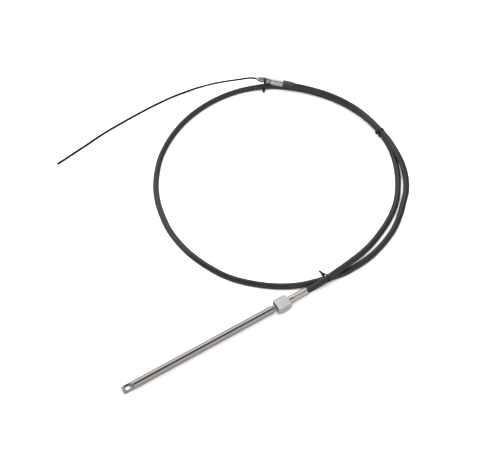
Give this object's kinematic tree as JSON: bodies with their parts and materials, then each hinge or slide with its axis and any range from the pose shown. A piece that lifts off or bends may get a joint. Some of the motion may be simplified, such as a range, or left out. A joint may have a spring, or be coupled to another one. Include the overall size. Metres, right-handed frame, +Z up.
{
  "type": "boat steering cable",
  "caption": "Coiled push-pull boat steering cable with a steel output ram, a hex coupling nut, a crimped helm end fitting and a bare wound inner core.",
  "frame": {"origin": "middle of the bottom of the box round the metal end pieces, on the floor they lie on", "axes": "+X along the ram from its eye towards the nut, +Z up, +Y from the ram across the loop to the helm end fitting"},
  "size_m": [0.7599, 0.6058, 0.0309],
  "materials": {
    "polished_steel": "polished stainless steel with long grey reflections",
    "satin_steel": "satin drawn steel tube",
    "nut_steel": "satin silver-grey plated steel",
    "conduit_jacket": "softly glossy black extruded jacket",
    "boot_black": "satin black shrunk boot",
    "wound_wire": "dark oiled wound steel wire",
    "tie_nylon": "black nylon"
  },
  "bodies": {
    "cable": {"guide_tube": "satin_steel", "output_sleeve": "polished_steel", "conduit": "conduit_jacket", "helm_boot": "boot_black", "helm_sleeve": "polished_steel", "helm_ferrule": "polished_steel", "inner_core": "wound_wire", "tie_output": "tie_nylon", "tie_side": "tie_nylon", "tie_helm": "tie_nylon"},
    "ram": {"output_ram": "polished_steel"},
    "nut": {"coupling_nut": "nut_steel"}
  },
  "joints": [
    {"name": "ram_slide", "type": "slide", "parent": "cable", "child": "ram", "axis": [-1, 0, 0], "range_m": [0, 0.229]},
    {"name": "nut_spin", "type": "hinge", "parent": "cable", "child": "nut", "pos_m": [0, -0.2554, 0.01474], "axis": [1, 0, 0], "continuous": true}
  ]
}
